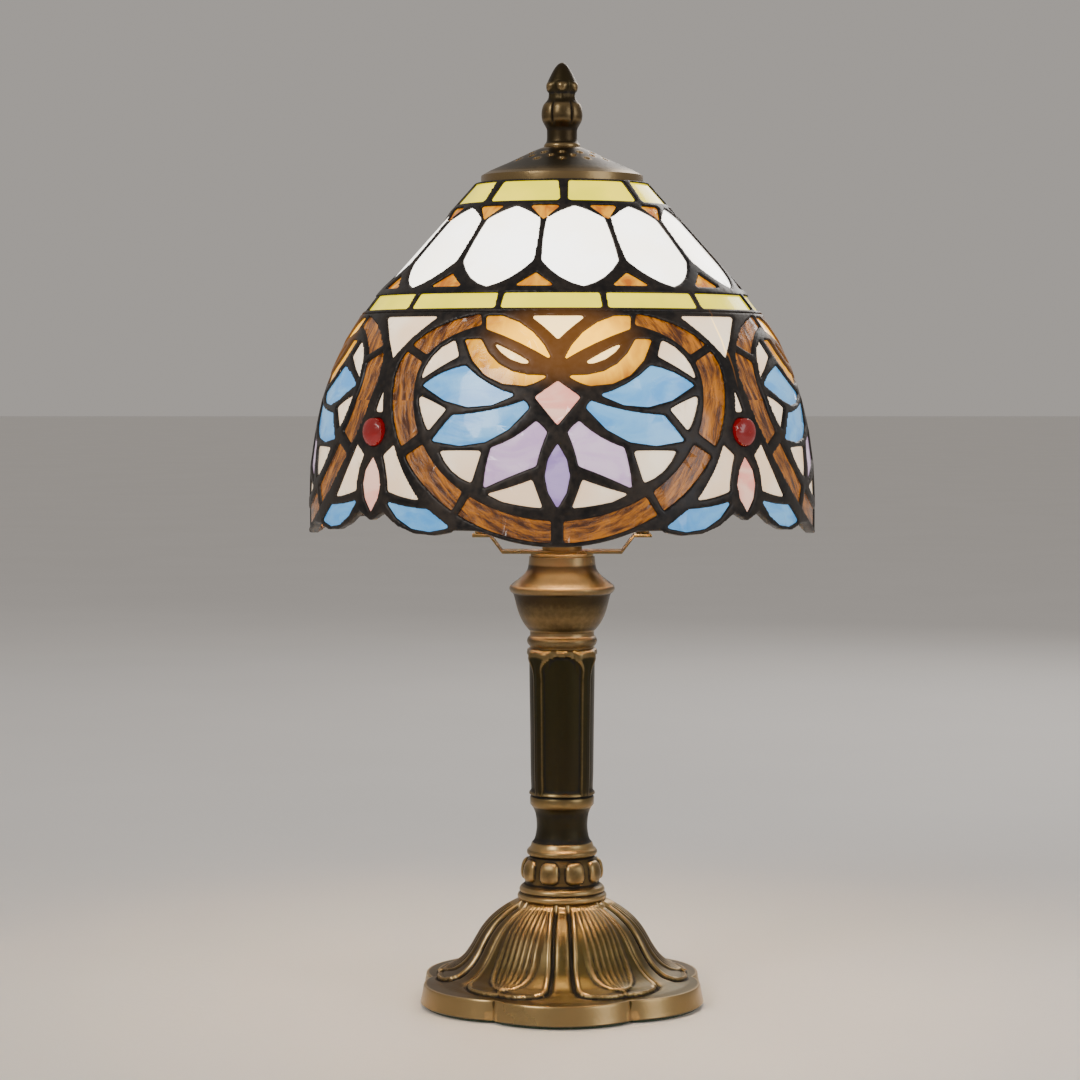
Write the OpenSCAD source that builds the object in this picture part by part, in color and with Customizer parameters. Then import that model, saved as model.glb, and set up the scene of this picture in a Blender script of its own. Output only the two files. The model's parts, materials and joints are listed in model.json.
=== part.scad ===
// Stained glass table lamp: a leaded glass dome on a cast bronze stand.
// Millimetres, +Z up, origin under the middle of the foot, front of the lamp towards -Y.

/* [Shade] */
// Outer radius of the skirt at the spring line
shade_r = 101.3; // [84:0.1:122]
// Thickness of the glass
glass_t = 2.2; // [1.6:0.1:3]
// How far the lead stands proud of the glass, on each face
lead_proud = 0.7; // [0.4:0.1:1]
// Turn of the skirt pattern about the axis, in degrees
skirt_turn = -1; // [-45:1:45]

/* [Cap and finial] */
// Outer radius of the vase cap
cap_r = 32.4; // [31:0.1:39]
// Sheet thickness of the vase cap
cap_t = 0.9; // [0.6:0.1:1.2]
// Diameter of a vent hole
vent_d = 2.6; // [1.6:0.1:3]
// Vent holes in each ring
vent_count = 12; // [8:1:16]
// Radius of the spindle's thread
stud_r = 3.1; // [2.6:0.1:3.7]
// Length of thread above the cap
stud_rise = 11; // [8:1:13]

/* [Harp] */
// Wire radius
wire_r = 1.6; // [1.2:0.1:1.9]
// Half width between the legs at the saddle
leg_x = 32.5; // [27:0.5:39]
// Half width at the widest
bow_x = 44; // [40:0.5:53]

/* [Socket and bulb] */
// Room between the screw shell and the liner
socket_room = 1.45; // [1:0.05:3]
// Radius of the bulb's screw base
bulb_base_r = 13.1; // [10.9:0.1:15.7]
// Radius of the bulb's globe
globe_r = 28; // [22:0.5:33.5]
// Radius of the switch knob
knob_r = 6.5; // [5:0.5:8]

/* [Stand] */
// Radius of the foot at a lobe's tip
foot_r = 60; // [50:1:72]
// Depth of the notch between two lobes
notch_in = 5.5; // [3:0.5:9]
// Thickness of the felt pad
felt_t = 1.2; // [0.8:0.1:2]
// Wall of the cast base
base_wall = 3; // [2:0.25:4]
// Radius of the threaded pipe
pipe_r = 4.9; // [4.1:0.1:5.8]
// Bore radius of the threaded pipe
pipe_bore = 3.4; // [2.5:0.1:3.6]
// Height of the column
column_h = 79.4; // [60:0.1:100]
// Radius of the column's shaft
shaft_r = 13.6; // [12:0.2:15]

/* [Fits] */
// Radial running clearance of a turning or sliding fit
run_gap = 0.05; // [0.02:0.01:0.1]
// Radial clearance of a piece threaded over the pipe
pipe_gap = 0.3; // [0.2:0.05:0.5]
// Radial clearance of the cap's hole on the stud
cap_gap = 0.3; // [0.2:0.05:0.5]

/* [Hidden] */

// Smoothness of round work
$fn = 96;
// Overshoot that keeps cuts clear of shared faces
eps = 0.5;
// Straight steps in one bowed edge of a glass piece
bow_steps = 4;

// ---- Heights of the stand, from the floor up ----
foot_z = felt_t;
flange_z = 8.6;
tread_z = 11.4;
hub_z = 41.2;
knop_z = 64;
column_z = knop_z + column_h;
collar_h = 6.2;
collar_z = column_z + collar_h;
cup_h = 30.4;
cup_z = collar_z + cup_h;
washer_t = 1.4;
saddle_z = cup_z + washer_t;
strip_t = 1.2;
socket_z = saddle_z + strip_t;

// ---- Shade, with its heights measured from the top of the cup ----
rim_z = 9.8;
spring_z = 23;
dome_rise = 97;
band_z = 96.6;
seam_z = band_z + 0.3;
cap_lip_z = 149.2;
// Radius for which the skirt's widths are written
drawn_r = 101.3;
widen = shade_r / drawn_r;
dome_run = 60 * widen;
shoulder = [73.6 * widen, 105.4];
crown_top = [cap_r + 2.2, cap_lip_z];
dome_steps = 6;
dome_sweep = asin((band_z - spring_z) / dome_rise);
lead_t = glass_t + 2 * lead_proud;
cap_top_z = 163.9;
cap_seat_r = 7.3;

// ---- Leaded ring of a heart, in its panel's plane ----
ring_c = 63.5;
ring_out = [62.8, 34.5, 52.5];
ring_in = [54.4, 30.5, 44.1];
arch_power = 2.6;
bowl_power = 2;
ring_step = 5;

// ---- Shapes in a plane ----

// Points from p towards q, bowed to the right of the way by h
function bowed(p, q, h) =
  let (d = q - p, side = [d[1], -d[0]] / norm(d), n = h == 0 ? 1 : bow_steps)
  [for (i = [0 : n - 1]) let (t = i / n) p + d * t + side * 4 * h * t * (1 - t)];

// Closed outline through corners, each edge bowed outwards by its own amount
function outline(p, bows) =
  [for (i = [0 : len(p) - 1]) each bowed(p[i], p[(i + 1) % len(p)], bows[i])];

// Skirt widths follow the shade's radius
function widened(p) = [for (q = p) [q[0] * widen, q[1]]];

function mirrored(p) = [for (i = [len(p) - 1 : -1 : 0]) [-p[i][0], p[i][1]]];

// Both copies of a piece that a panel holds left and right
function pair(p) = [p, mirrored(p)];

// Distance from the ring's centre to its edge, on a bearing
function ring_reach(size, a) =
  let (power = a > 0 ? arch_power : bowl_power, rise = a > 0 ? size[1] : size[2])
  pow(pow(abs(cos(a) / size[0]), power) + pow(abs(sin(a) / rise), power), -1 / power);

function ring_point(size, a) = [0, ring_c] + ring_reach(size, a) * [cos(a), sin(a)];

function ring_run(size, a, b) =
  let (n = max(1, ceil(abs(b - a) / ring_step)))
  [for (i = [0 : n]) ring_point(size, a + (b - a) * i / n)];

// One glass segment of the ring, between bearings on its outer and inner edges
function ring_segment(out, in) =
  concat(ring_run(ring_out, out[0], out[1]), ring_run(ring_in, in[1], in[0]));

// ---- The pattern: each list holds outlines in a panel's plane, as [across, height] ----
ring_segments = [
  ring_segment([20.6, 48.4], [18.9, 44.7]), ring_segment([-16.5, 18], [-13.2, 15.8]),
  ring_segment([-46.2, -19.8], [-43.6, -17.6]), ring_segment([-87.6, -48.6], [-87.2, -47])];
lens = outline([[1.8, 78.2], [27.2, 90.2], [27.2, 95.4], [21, 95.4]], [-0.8, 0, 0, 3.2]);
eye = outline([[8.6, 76.9], [24.6, 85.4]], [2.6, 0.5]);
scroll = outline([[3.2, 73], [12, 68.9], [35.3, 86.5], [28.8, 86.7], [11, 73.3]],
  [0.5, 6, 0, -3.4, 0]);
peak = outline([[0, 86], [11.2, 95.4], [-11.2, 95.4]], [-0.4, 0, -0.4]);
upper_field = outline([[37, 80], [52, 71], [38.6, 86.4]], [-0.3, 2.6, 0]);
upper_petal = outline([[15, 65.8], [51.3, 69.2], [34.5, 76.8]], [6.5, 1.2, -1.6]);
side_field = outline([[41.5, 60.4], [48.6, 51.9], [52.5, 65.6]], [0, 0.8, 0.3]);
lower_petal = outline([[10.4, 60.8], [47.5, 48.4], [39.5, 58.3], [12.3, 63.8]],
  [6.8, 0.2, -1, 0.3]);
diamond = outline([[0, 54.3], [8.8, 65], [0, 71.2], [-8.8, 65]], [0, 0, 0, 0]);
low_field = outline([[28, 45.2], [31.9, 32.9], [44.3, 44.9]], [0, 2, 0.2]);
lavender = outline([[3.6, 52], [7.7, 39.4], [27.7, 30.9], [24.8, 46.4], [8, 56.4]],
  [-0.4, -0.3, 0.5, -1.1, 0.3]);
violet = outline([[0, 23.6], [0, 48.3]], [4.8, 4.8]);
bottom_field = outline([[5.2, 23.9], [20.5, 26.2], [26.8, 29.2], [9.2, 34.8]],
  [0.3, 0, -0.3, 0]);

corner = outline([[0, 79], [15.5, 95.4], [-15.5, 95.4]], [-0.5, 0, -0.5]);
sliver = outline([[0, 68.5], [-2.4, 58.9], [2.4, 58.9]], [0, 0, 0]);
drop = outline([[0, 20.7], [0, 42.7]], [5.3, 5.3]);
flank = outline([[5.2, 42.8], [8.8, 29.2], [24.6, 26.1], [10.6, 47.2]],
  [-0.8, 0.5, -0.8, 0]);
scallop = outline([[7.6, 26], [37.5, 16.3], [28, 23.3]], [6, 0, -0.6]);
jewel_z = 51.5;
jewel_r = 5.3;

// Lower edge of the lead: a bowl under each heart, scallops and a point under each post
rim_reach = 39.5;
rim_flat_z = 15.5;
post_flat_z = 15.3;
rim_lip = 1.3;
heart_rim = [for (x = [-33 : 3 : 33])
  [x, min(rim_flat_z, ring_c - (ring_out[2] + rim_lip)
    * sqrt(1 - pow(x / (ring_out[0] + rim_lip), 2)))]];
post_rim = concat(bowed([-rim_reach, post_flat_z], [-6.8, 21.5], 4.6),
  [[-6.8, 21.5], [0, 18.2]],
  bowed([6.8, 21.5], [rim_reach, post_flat_z], 4.6));

// Radius of the crown's outer face at a height
function crown_reach(z) =
  crown_top[0] + (shoulder[0] - crown_top[0]) * (crown_top[1] - z) / (crown_top[1] - shoulder[1]);

// Crown pieces are given as [bearing, height], so that each row fills its circle
function on_crown(p) = [for (q = p) [crown_reach(q[1]) * sin(q[0]), q[1]]];

green_top_piece = on_crown([[-20.3, 140.4], [20.3, 140.4], [19.1, 148.6], [-19.1, 148.6]]);
hex_piece = outline(on_crown([[0, 106.4], [13.5, 116.5], [13.4, 133.2], [0, 138.4],
  [-13.4, 133.2], [-13.5, 116.5]]), [1.8, 0.4, 0.5, 0.5, 0.4, 1.8]);
dart = on_crown([[0, 132.6], [8.4, 138.6], [-8.4, 138.6]]);
gable = on_crown([[-6.5, 106.6], [6.5, 106.6], [0, 112]]);
green_band_piece = widened([[-19.4, 98.2], [19.4, 98.2], [18, 104.2], [-18, 104.2]]);

// Where each crown row starts round the axis, and how many pieces it has
row_count = 12;
top_count = 8;
top_turn = 23.5;
hex_turn = 6.5;
dart_turn = -8.5;
band_turn = -3;

// ---- Shade surface ----

// Outer lead surface, from the rim up to the cap
shade_line = concat([[shade_r, rim_z]],
  [for (i = [0 : dome_steps]) let (a = dome_sweep * i / dome_steps)
    [shade_r - dome_run * (1 - cos(a)), spring_z + dome_rise * sin(a)]],
  [shoulder, crown_top]);

// The line moved inwards by a depth, square to its own slope
function inset(line, depth) =
  [for (i = [0 : len(line) - 1])
    let (a = line[max(0, i - 1)], b = line[min(len(line) - 1, i + 1)], d = (b - a) / norm(b - a))
    i == 0 || i == len(line) - 1
      ? [line[i][0] - depth / d[1], line[i][1]]
      : line[i] + depth * [-d[1], d[0]]];

// A revolved skin between two depths under the outer lead surface
module skin(outer, inner) {
  top = inset(shade_line, outer);
  under = inset(shade_line, inner);
  rotate_extrude()
    polygon(concat(top, [for (i = [len(under) - 1 : -1 : 0]) under[i]]));
}

module glass_skin() skin(lead_proud, lead_proud + glass_t);
module lead_skin() skin(0, lead_t);

// An outline in a plane drawn out from the axis, towards a bearing from the front
module drawn_out(bearing)
  rotate(bearing) rotate([90, 0, 0]) linear_extrude(shade_r + eps) children();

module outlines(list, bearing)
  for (p = list) drawn_out(bearing) polygon(p);

// Glass pieces of one kind, repeated round the shade
module glass(list, count, turn)
  for (i = [0 : count - 1])
    for (p = list)
      intersection() {
        glass_skin();
        drawn_out(turn + i * 360 / count) polygon(p);
      }

module heart_glass(list) glass([for (p = list) widened(p)], 4, skirt_turn);
module post_glass(list) glass([for (p = list) widened(p)], 4, skirt_turn + 45);

cream_field_list = [for (p = [upper_field, side_field, low_field, bottom_field]) each pair(p)];
heart_list = concat([for (p = ring_segments) each pair(p)], pair(lens), pair(eye),
  pair(scroll), [peak], cream_field_list, pair(upper_petal), pair(lower_petal), [diamond],
  pair(lavender), [violet]);
post_list = concat([corner, sliver, drop], pair(flank), pair(scallop));

// ---- Glass ----
module green_top() color("yellowgreen") glass([green_top_piece], top_count, top_turn);
module amber_darts() color("goldenrod") glass([dart], row_count, dart_turn);
module white_hexes() color("ivory") glass([hex_piece], row_count, hex_turn);
module amber_gables() color("goldenrod") glass([gable], row_count, dart_turn);
module green_band() color("yellowgreen") glass([green_band_piece], row_count, band_turn);

module amber_ring() color("saddlebrown") heart_glass([for (p = ring_segments) each pair(p)]);
module amber_lenses() color("gold") heart_glass(pair(lens));
module amber_scrolls() color("goldenrod") heart_glass(pair(scroll));
module blue_upper_petals() color("skyblue") heart_glass(pair(upper_petal));
module blue_lower_petals() color("deepskyblue") heart_glass(pair(lower_petal));
module blue_scallops() color("skyblue") post_glass(pair(scallop));
module pink_diamonds() color("lightpink") heart_glass([diamond]);
module pink_drops() color("pink") post_glass([drop]);
module lavender_petals() color("thistle") heart_glass(pair(lavender));
module violet_lenses() color("mediumpurple") heart_glass([violet]);
module cream_eyes() color("wheat") heart_glass(pair(eye));
module cream_peaks() color("wheat") heart_glass([peak]);
module cream_corners() color("wheat") post_glass([corner, sliver]);
module cream_fields() color("wheat") heart_glass(cream_field_list);
module cream_flanks() color("wheat") post_glass(pair(flank));

// Round cabochons set into the lead above each drop
jewel_back = 3;
jewel_girdle = 4.2;
jewel_out = 2;
// The hole clears the girdle where the lead leans outwards beside it
jewel_hole = 4 * jewel_girdle;
jewel_x = shade_r - dome_run * (1 - cos(asin((jewel_z - spring_z) / dome_rise)));
module jewel_at(bearing)
  rotate(bearing) translate([0, jewel_back - jewel_x, jewel_z]) rotate([90, 0, 0]) children();

module red_jewels() color("darkred")
  for (i = [0 : 3]) jewel_at(skirt_turn + 45 + 90 * i)
    rotate_extrude()
      polygon(concat([[0, 0], [jewel_r, 0]],
        [for (a = [0 : 15 : 75]) [jewel_r * cos(a), jewel_girdle + jewel_out * sin(a)]],
        [[0, jewel_girdle + jewel_out]]));

// ---- Lead ----
module crown_cuts() {
  for (i = [0 : top_count - 1]) outlines([green_top_piece], top_turn + i * 360 / top_count);
  for (i = [0 : row_count - 1]) {
    outlines([hex_piece], hex_turn + i * 360 / row_count);
    outlines([dart, gable], dart_turn + i * 360 / row_count);
    outlines([green_band_piece], band_turn + i * 360 / row_count);
  }
}

module above_seam() translate([0, 0, seam_z]) cylinder(h = crown_top[1], r = shade_r + eps);

module solder_crown() color("dimgray")
  difference() {
    intersection() {
      lead_skin();
      above_seam();
    }
    crown_cuts();
  }

// The region under the rim, in a panel's plane, whose ends lie at one height
module under_rim(line, flat_z)
  polygon(widened(concat([[rim_reach, flat_z], [rim_reach, rim_z - 5],
    [-rim_reach, rim_z - 5], [-rim_reach, flat_z]], line)));

// A quarter of the skirt's lead, centred on one heart
module solder_quarter()
  difference() {
    intersection() {
      lead_skin();
      rotate(-135) rotate_extrude(angle = 90) translate([shade_r / 2, rim_z - 1])
        square([shade_r, seam_z - rim_z + 1]);
    }
    outlines([for (p = heart_list) widened(p)], 0);
    for (side = [-1, 1]) {
      outlines([for (p = post_list) widened(p)], 45 * side);
      drawn_out(45 * side) under_rim(post_rim, post_flat_z);
      jewel_at(45 * side) cylinder(h = jewel_hole, r = jewel_r, center = true);
    }
    drawn_out(0) under_rim(heart_rim, rim_flat_z);
  }

module solder_skirt() color("dimgray")
  for (i = [0 : 3]) rotate(skirt_turn + 90 * i) solder_quarter();

// ---- Cap, top ring and finial ----
cap_edge_z = 152.6;
vent_rings = [14, 16.9, 19.8];

// Outer line of the cap, from its lip to the seat of the finial
cap_line = [[cap_r, cap_edge_z], [25.2, 155.9], [18.4, 159.1], [11.7, 162.1],
  [cap_seat_r, cap_top_z]];

module shade_cap() color("darkolivegreen")
  difference() {
    rotate_extrude()
      polygon(concat([[cap_r - cap_t, cap_lip_z], [cap_r, cap_lip_z]], cap_line,
        [[0, cap_top_z], [0, cap_top_z - cap_t]],
        [for (i = [len(cap_line) - 1 : -1 : 0]) cap_line[i] - [i == 0 ? cap_t : 0, cap_t]]));
    translate([0, 0, cap_lip_z]) cylinder(h = cap_top_z, r = stud_r + cap_gap);
    for (ring = [0 : len(vent_rings) - 1], i = [0 : vent_count - 1])
      rotate((i + ring / 2) * 360 / vent_count) translate([vent_rings[ring], 0, cap_lip_z])
        cylinder(h = cap_top_z - cap_lip_z, d = vent_d, $fn = 24);
  }

// Brass band soldered inside the top of the glass, which the cap is soldered to
ring_t = 1;
ring_z = 145.5;
ring_r = inset(shade_line, lead_t)[len(shade_line) - 1][0];
module shade_top_ring() color("darkgoldenrod")
  translate([0, 0, ring_z])
    difference() {
      cylinder(h = crown_top[1] - ring_z, r = ring_r);
      translate([0, 0, -eps]) cylinder(h = crown_top[1] - ring_z + 2 * eps, r = ring_r - ring_t);
    }

finial_bore_z = cap_top_z + stud_rise + 1;
finial_line = [[cap_seat_r, cap_top_z], [6.4, 165.8], [6.1, 168], [6.1, 170.6], [7.2, 172.6],
  [8.4, 175.2], [8.7, 177], [8.2, 179.4], [7.1, 181.8], [5.9, 183.6], [5.9, 185], [6.9, 188],
  [6.1, 190], [5, 191.6], [4.2, 193.4], [2.6, 196], [0, 197.5]];
module finial() color("darkolivegreen")
  difference() {
    rotate_extrude() polygon(concat([[0, cap_top_z]], finial_line));
    translate([0, 0, cap_top_z - eps])
      cylinder(h = finial_bore_z - cap_top_z + eps, r = stud_r + run_gap);
  }

// ---- Harp ----
seat_t = 1.5;
seat_r = 7;
spindle_z = cup_z + cap_top_z - cap_t - seat_t;
harp_top_t = 3;
harp_top_gap = 0.2;
harp_top_z = spindle_z - harp_top_gap - harp_top_t;
neck_r = 2.2;
rivet_r = 4;
rivet_t = 1.4;
harp_top_w = 14;
harp_top_d = 10;
crest_r = 12;
lean_r = 200;
side_r = 60;
crest_c = [harp_top_w / 2, harp_top_z + harp_top_t / 2 - crest_r];
// The lean passes the brass ring inside the shade with this much room
harp_gap = 1.6;
// Its drawn-down ends are let into the bends by this angle, this far under their skin
lap_a = 0.3;
lap_in = 0.05;
pass = [ring_r - ring_t, cup_z + ring_z] - crest_c;
pass_in = (pass * pass + pow(lean_r - crest_r, 2) - pow(lean_r + wire_r + harp_gap, 2))
  / (2 * norm(pass));
pass_down = sqrt(pow(lean_r - crest_r, 2) - pow(pass_in, 2));
lean_c = crest_c + (pass_in * pass + pass_down * [pass[1], -pass[0]]) / norm(pass);
side_x = bow_x - side_r;
side_c = [side_x, lean_c[1] + sqrt(pow(lean_r - side_r, 2) - pow(side_x - lean_c[0], 2))];
side_a = bearing(side_c - lean_c);
lean_a = bearing(crest_c - lean_c);
bend_r = 20;
bend_a = acos(1 - (bow_x - leg_x) / 2 / bend_r);
bend_rise = 2 * bend_r * sin(bend_a);
bend_z = cup_z + 48;
function bearing(v) = atan2(v[1], v[0]);
tab_up = 6.6;
tab_z = saddle_z + tab_up;
tab_w = 7;
strip_w = 14;
strip_slope = 5;
strip_x = leg_x - tab_w / 2 - strip_slope;
prong_h = 9;
prong_top_z = tab_z + prong_h;
sleeve_gap = 0.1;
sleeve_z = tab_z + strip_t + sleeve_gap;
sleeve_h = 14;
sleeve_t = 1;

// An arc of the wire, bent about [x, z] with a radius, from one bearing through a sweep
module wire_arc(centre, r, from, sweep, thick = wire_r)
  translate([centre[0], 0, centre[1]]) rotate([90, 0, 0]) rotate(from)
    rotate_extrude(angle = sweep) translate([r, 0]) circle(r = thick, $fn = 32);

// A straight stretch of the wire, upwards from [x, z]
module wire_up(foot, h)
  translate([foot[0], 0, foot[1]]) cylinder(h = h, r = wire_r, $fn = 32);

// One side of the wire: leg, double bend, upright, shoulder, lean and a bend to the top
module harp_side() {
  wire_up([leg_x, prong_top_z], bend_z - prong_top_z);
  wire_arc([leg_x + bend_r, bend_z], bend_r, 180 - bend_a, bend_a);
  wire_arc([bow_x - bend_r, bend_z + bend_rise], bend_r, -bend_a, bend_a);
  wire_up([bow_x, bend_z + bend_rise], side_c[1] - bend_z - bend_rise);
  wire_arc(side_c, side_r, 0, side_a);
  wire_arc(lean_c, lean_r, side_a - lap_a, lean_a - side_a + 2 * lap_a, wire_r - lap_in);
  wire_arc(crest_c, crest_r, lean_a, 90 - lean_a);
}

module harp_wire() color("goldenrod") {
  harp_side();
  rotate(180) harp_side();
}

// Flat block that joins the wire's ends and holds the turning spindle
module harp_top() color("goldenrod")
  difference() {
    translate([-harp_top_w / 2, -harp_top_d / 2, harp_top_z])
      cube([harp_top_w, harp_top_d, harp_top_t]);
    translate([0, 0, harp_top_z - eps]) cylinder(h = harp_top_t + 2 * eps, r = neck_r + run_gap);
  }

module harp_spindle() color("gold") {
  translate([0, 0, harp_top_z - harp_top_gap - rivet_t]) cylinder(h = rivet_t, r = rivet_r);
  translate([0, 0, harp_top_z - harp_top_gap - eps])
    cylinder(h = harp_top_t + 2 * harp_top_gap + 2 * eps, r = neck_r);
  translate([0, 0, spindle_z]) cylinder(h = seat_t, r = seat_r);
  translate([0, 0, spindle_z]) cylinder(h = seat_t + cap_t + stud_rise, r = stud_r);
}

// Strip under the socket, turned up at both ends, with a round prong on each tab
saddle_line = [[strip_x, saddle_z], [leg_x - tab_w / 2, tab_z], [leg_x + tab_w / 2, tab_z]];
module harp_saddle() color("darkolivegreen")
  difference() {
    union() {
      translate([0, strip_w / 2, 0]) rotate([90, 0, 0]) linear_extrude(strip_w)
        polygon(concat(saddle_line,
          [for (i = [2 : -1 : 0]) saddle_line[i] + [0, strip_t]],
          [for (p = saddle_line) [-p[0], p[1] + strip_t]],
          [for (i = [2 : -1 : 0]) [-saddle_line[i][0], saddle_line[i][1]]]));
      for (side = [-1, 1]) translate([side * leg_x, 0, tab_z])
        cylinder(h = prong_top_z - tab_z, r = wire_r, $fn = 32);
    }
    translate([0, 0, saddle_z - eps]) cylinder(h = strip_t + 2 * eps, r = pipe_r + pipe_gap);
  }

module sleeve_on(side)
  translate([side * leg_x, 0, sleeve_z])
    difference() {
      cylinder(h = sleeve_h, r = wire_r + run_gap + sleeve_t, $fn = 48);
      translate([0, 0, -eps]) cylinder(h = sleeve_h + 2 * eps, r = wire_r + run_gap, $fn = 48);
    }
module harp_sleeve_left() color("gold") sleeve_on(-1);
module harp_sleeve_right() color("gold") sleeve_on(1);

// ---- Socket ----
shell_t = 0.8;
hub_r = 8;
hub_h = 6;
socket_cap_h = 14;
shell_h = 36;
hub_top_z = socket_z + hub_h;
shell_z = socket_z + socket_cap_h;
shell_top_z = shell_z + shell_h;
cap_rim = 1;
liner_t = 0.8;
liner_gap = 0.2;
screw_t = 0.6;
screw_r = bulb_base_r + run_gap + screw_t;
socket_r = screw_r + socket_room + liner_t + liner_gap + shell_t;

// Outer and inner lines of the socket's cap, from its hub to the shell
cap_outside = [[hub_r, hub_top_z - 2], [socket_r - 3, shell_z - 5], [socket_r, shell_z - cap_rim]];
cap_inside = [for (p = cap_outside) p + [-shell_t, p == cap_outside[2] ? 0 : shell_t]];

// The insulating body stands on the slope inside the cap
body_r = 12.5;
cap_slope = (cap_inside[1][1] - cap_inside[0][1]) / (cap_inside[1][0] - cap_inside[0][0]);
body_z = cap_inside[0][1] + (body_r - cap_inside[0][0]) * cap_slope;
body_h = 14.8;
screw_z = body_z + body_h;
screw_h = 23;
switch_drop = 6;
switch_z = screw_z - switch_drop;
switch_r = 1.6;
switch_in = 6;
switch_slack = 0.2;
stem_end = socket_r + 7;
knob_h = 8;
pipe_in_socket = 7;

module socket_cap() color("darkgoldenrod")
  rotate_extrude()
    polygon(concat([[pipe_r, socket_z], [hub_r, socket_z]], cap_outside,
      [[socket_r, shell_z], [socket_r - shell_t, shell_z]],
      [for (i = [2 : -1 : 0]) cap_inside[i]], [[pipe_r, cap_inside[0][1]]]));

// Round way for the switch stem, from the middle of the socket to the rear
module switch_bore(r)
  translate([0, 0, switch_z]) rotate([-90, 0, 0]) cylinder(h = stem_end, r = r, $fn = 48);

module socket_shell() color("darkgoldenrod")
  difference() {
    translate([0, 0, shell_z]) cylinder(h = shell_h, r = socket_r);
    translate([0, 0, shell_z - eps]) cylinder(h = shell_h + 2 * eps, r = socket_r - shell_t);
    switch_bore(switch_r + run_gap);
  }

module socket_liner() color("tan")
  difference() {
    translate([0, 0, shell_z]) cylinder(h = shell_h - liner_t, r = socket_r - shell_t - liner_gap);
    translate([0, 0, shell_z - eps])
      cylinder(h = shell_h, r = socket_r - shell_t - liner_gap - liner_t);
    switch_bore(switch_r + switch_slack);
  }

module socket_body() color("saddlebrown")
  difference() {
    translate([0, 0, body_z]) cylinder(h = body_h, r = body_r);
    translate([0, switch_in - eps, switch_z]) rotate([-90, 0, 0])
      cylinder(h = stem_end, r = switch_r + run_gap, $fn = 48);
  }

module socket_screw_shell() color("gold")
  translate([0, 0, screw_z])
    difference() {
      cylinder(h = screw_h, r = screw_r);
      translate([0, 0, screw_t]) cylinder(h = screw_h, r = bulb_base_r + run_gap);
      translate([0, 0, -eps]) cylinder(h = screw_h, r = contact_r + contact_gap);
    }

contact_r = 3.5;
contact_h = 1.4;
contact_gap = 2;
module socket_contact() color("gold")
  translate([0, 0, screw_z]) cylinder(h = contact_h, r = contact_r, $fn = 48);

module switch_knob() color("black")
  translate([0, 0, switch_z]) rotate([-90, 0, 0]) {
    translate([0, 0, switch_in]) cylinder(h = stem_end - switch_in + 1, r = switch_r, $fn = 48);
    translate([0, 0, stem_end]) cylinder(h = knob_h, r = knob_r, $fn = 12);
  }

// ---- Bulb ----
tip_gap = 0.1;
tip_h = 1.6;
tip_in = 3;
base_low_z = screw_z + contact_h + tip_gap;
base_top_z = shell_top_z + 1.5;
globe_rise = 4;
globe_z = base_top_z + globe_r + globe_rise;
bulb_t = 1;
bulb_neck_r = bulb_base_r - 1.1;
neck_flare = 0.5;
neck_h = 5;
neck_join_r = globe_r * 0.75;
neck_join_z = globe_z - sqrt(pow(globe_r, 2) - pow(neck_join_r, 2));

module bulb_base() color("silver")
  rotate_extrude()
    polygon([[0, base_low_z], [contact_r, base_low_z], [bulb_base_r - tip_in, base_low_z + tip_h],
      [bulb_base_r, base_low_z + 2 * tip_h], [bulb_base_r, base_top_z], [0, base_top_z]]);

// Globe and neck as one glass shell, open into the base
module bulb_form(inset)
  rotate_extrude()
    difference() {
      union() {
        translate([0, globe_z]) circle(r = globe_r - inset);
        polygon([[0, base_top_z], [bulb_neck_r - inset, base_top_z],
          [bulb_neck_r + neck_flare - inset, base_top_z + neck_h],
          [neck_join_r - inset, neck_join_z], [0, neck_join_z]]);
      }
      translate([-2 * globe_r, 0]) square([2 * globe_r, 2 * globe_z]);
    }

module bulb_glass() color("lightyellow")
  difference() {
    bulb_form(0);
    bulb_form(bulb_t);
  }

stem_r = 3;
filament_r = 0.5;
filament_span = 8;
lead_in_h = 8;
lead_in_x = 2;
module bulb_filament() color("orange") {
  translate([0, 0, base_top_z])
    cylinder(h = globe_z - base_top_z - lead_in_h, r = stem_r, $fn = 48);
  for (side = [-1, 1]) translate([side * lead_in_x, 0, globe_z - lead_in_h - eps])
    cylinder(h = lead_in_h + eps, r = filament_r, $fn = 24);
  translate([-filament_span, 0, globe_z]) rotate([0, 90, 0])
    cylinder(h = 2 * filament_span, r = filament_r, $fn = 24);
}

// ---- Stand ----
lobes = 6;
cusp = 0.6;
function lobe_r(a, tip, notch) = notch + (tip - notch) * pow(abs(cos(a * lobes / 2)), cusp);
module lobed(tip, notch)
  polygon([for (a = [0 : 5 : 355]) lobe_r(a, tip, notch) * [sin(a), -cos(a)]]);

nut_h = 4;
nut_af = 15;
lock_t = 1;
base_hub_r = 18;
hub_floor_t = base_wall + 4;
under_z = hub_z - hub_floor_t;
notch_r = foot_r - notch_in;
rim_step_z = 6;
rim_step = 1.6;
tread_in = 7.6;
tread_notch_in = 4;
dome_foot_r = foot_r - 10;
cavity_r = dome_foot_r - 4;
dome_h = hub_z - tread_z;
// Line of the dome as [part of the way out, part of the way up]
dome_shape = [[1, 0], [0.78, 0.154], [0.612, 0.342], [0.506, 0.51], [0.438, 0.624],
  [0.362, 0.725], [0.238, 0.839], [0.1, 0.933], [0, 1]];
dome_line = [for (p = dome_shape)
  [base_hub_r + (dome_foot_r - base_hub_r) * p[0], tread_z + dome_h * p[1]]];

felt_in = 2;
felt_hole_r = 22;
module base_felt() color("darkgreen")
  linear_extrude(felt_t)
    difference() {
      lobed(foot_r - felt_in, notch_r - felt_in);
      circle(r = felt_hole_r);
    }

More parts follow.
